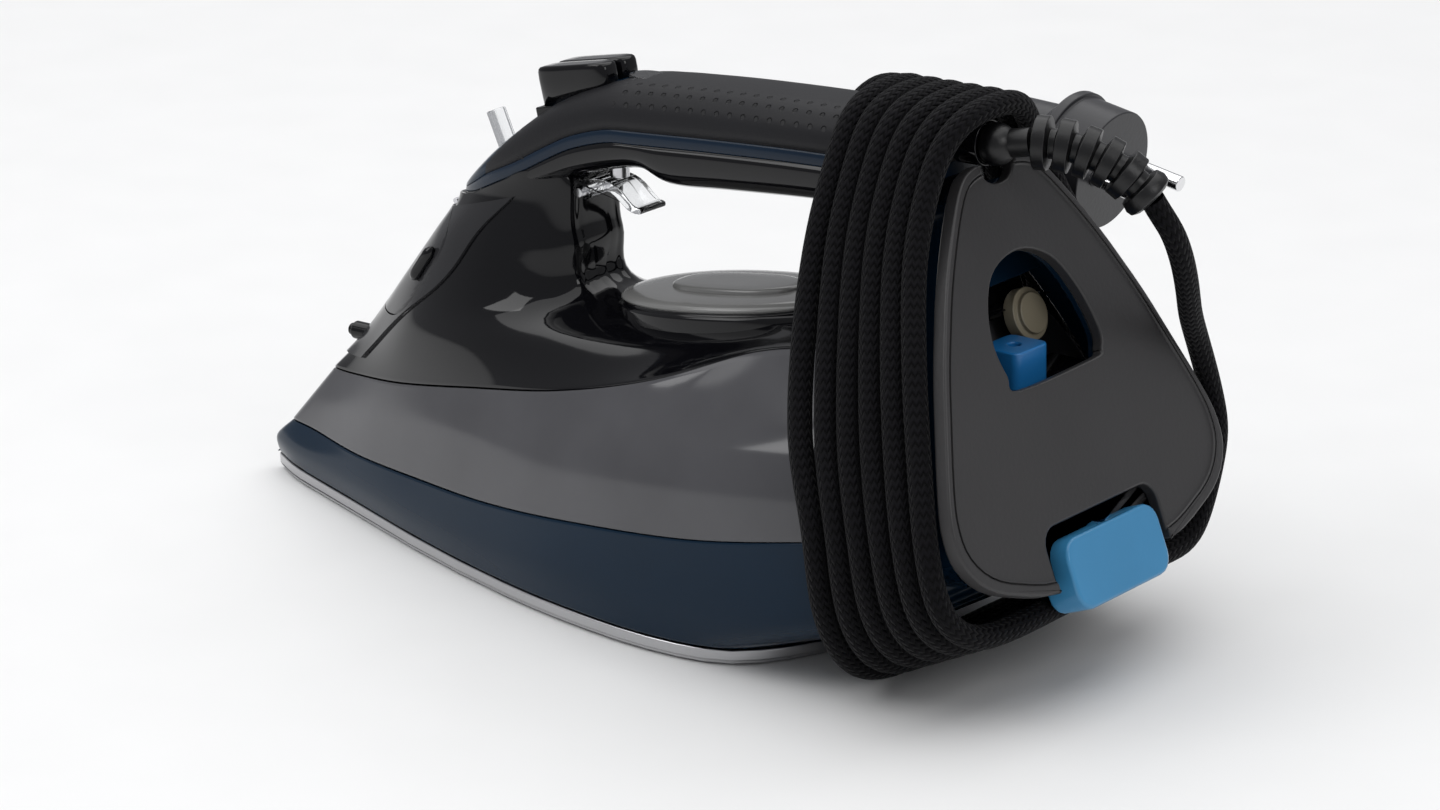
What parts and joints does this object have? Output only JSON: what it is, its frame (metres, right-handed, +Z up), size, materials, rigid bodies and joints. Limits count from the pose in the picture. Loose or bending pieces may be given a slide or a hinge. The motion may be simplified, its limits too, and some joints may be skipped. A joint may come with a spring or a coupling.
{
  "type": "steam iron",
  "caption": "Steam iron with a water tank, an arched handle, thumb buttons, a trigger, a filling lid, a descaling plug and a braided cord wound round its heel.",
  "frame": {"origin": "soleplate's underside, below the middle of the iron's own box, cord left out", "axes": "+X to the nose, +Y to the iron's left, +Z up"},
  "size_m": [0.3439, 0.1555, 0.1695],
  "materials": {
    "sole": "brushed",
    "cast": "cast",
    "steel": "satin",
    "ivory": "matte",
    "navy": "gloss",
    "tank_grey": "smoked gloss",
    "inner_grey": "matte",
    "seal": "matte",
    "gloss_black": "gloss",
    "panel_grey": "gloss",
    "charcoal": "satin",
    "blue_trim": "satin",
    "grip_rubber": "matte, dimpled on the grip",
    "clear": "clear polycarbonate",
    "sky_blue": "satin",
    "board": "lacquered",
    "copper_lead": "matte",
    "braid": "braided",
    "pin_metal": "nickel plated"
  },
  "bodies": {
    "iron": {"soleplate": "sole", "steam_chamber": "cast", "heating_element": "steel", "chamber_cover": "steel", "thermostat": "ivory", "skirt": "navy", "tank": "tank_grey", "tank_floor": "inner_grey", "tank_gasket": "seal", "body_shell": "gloss_black", "front_panel": "panel_grey", "spray_nozzle": "gloss_black", "heel_frame": "navy", "heel_shelf": "gloss_black", "heel_cover": "charcoal", "handle_base": "gloss_black", "trim_strip": "blue_trim", "grip": "grip_rubber", "indicator_lens": "clear", "button_deck": "gloss_black", "button_springs": "steel", "pumps": "ivory", "water_hose": "seal", "trigger_pin": "steel", "trigger_spring": "steel", "lid_pin": "steel", "control_pod": "gloss_black", "valve_knob": "ivory", "circuit_board": "board", "terminal_block": "ivory", "lead_wires": "copper_lead", "swivel_socket": "gloss_black", "screws": "steel", "cord_lead": "braid", "cord_winding": "braid", "cord_tail": "braid", "mains_plug": "grip_rubber", "plug_pins": "pin_metal"},
    "boost_button": {"boost_button": "gloss_black"},
    "spray_button": {"spray_button": "gloss_black"},
    "steam_lever": {"steam_lever": "clear", "valve_rod": "steel"},
    "trigger": {"trigger": "clear"},
    "tank_lid": {"tank_lid": "panel_grey", "lid_grip": "gloss_black"},
    "mode_button": {"mode_button": "charcoal"},
    "descale_plug": {"descale_plug": "sky_blue", "plug_seal": "seal"},
    "descale_release": {"descale_release": "sky_blue"},
    "cord_swivel": {"swivel_ball": "grip_rubber", "strain_relief": "grip_rubber"}
  },
  "joints": [
    {"name": "boost_press", "type": "slide", "parent": "iron", "child": "boost_button", "axis": [-0.2079, 0, -0.9781], "range_m": [0, 0.0025], "stiffness_N_per_m": 600, "springref_m": -0.001, "deforming": ["button_springs"]},
    {"name": "spray_press", "type": "slide", "parent": "iron", "child": "spray_button", "axis": [-0.2079, 0, -0.9781], "range_m": [0, 0.0025], "stiffness_N_per_m": 600, "springref_m": -0.001},
    {"name": "trigger_squeeze", "type": "hinge", "parent": "iron", "child": "trigger", "pos_m": [0.026, 0, 0.1195], "axis": [0, 1, 0], "range_deg": [0, 6], "stiffness_Nm_per_rad": 1.5, "springref_deg": -1.15, "deforming": ["trigger_spring"]},
    {"name": "lever_swing", "type": "hinge", "parent": "iron", "child": "steam_lever", "pos_m": [0.05, 0, 0.12], "axis": [0, 0, 1], "range_deg": [-22, 22]},
    {"name": "lid_open", "type": "hinge", "parent": "iron", "child": "tank_lid", "pos_m": [0.0806, 0, 0.1076], "axis": [0, -1, 0], "range_deg": [0, 70]},
    {"name": "mode_press", "type": "slide", "parent": "iron", "child": "mode_button", "axis": [-0.1822, 0, -0.9833], "range_m": [0, 0.0015], "stiffness_N_per_m": 900, "springref_m": -0.0005},
    {"name": "descale_pull", "type": "slide", "parent": "iron", "child": "descale_plug", "axis": [-0.9367, 0, 0.3502], "range_m": [0, 0.09]},
    {"name": "release_slide", "type": "slide", "parent": "iron", "child": "descale_release", "axis": [1, 0, 0], "range_m": [0, 0.003], "stiffness_N_per_m": 300, "springref_m": -0.001},
    {"name": "cord_swivel", "type": "hinge", "parent": "iron", "child": "cord_swivel", "pos_m": [-0.124, -0.001, 0.155], "axis": [0, 0, 1], "range_deg": [-25, 0]}
  ]
}
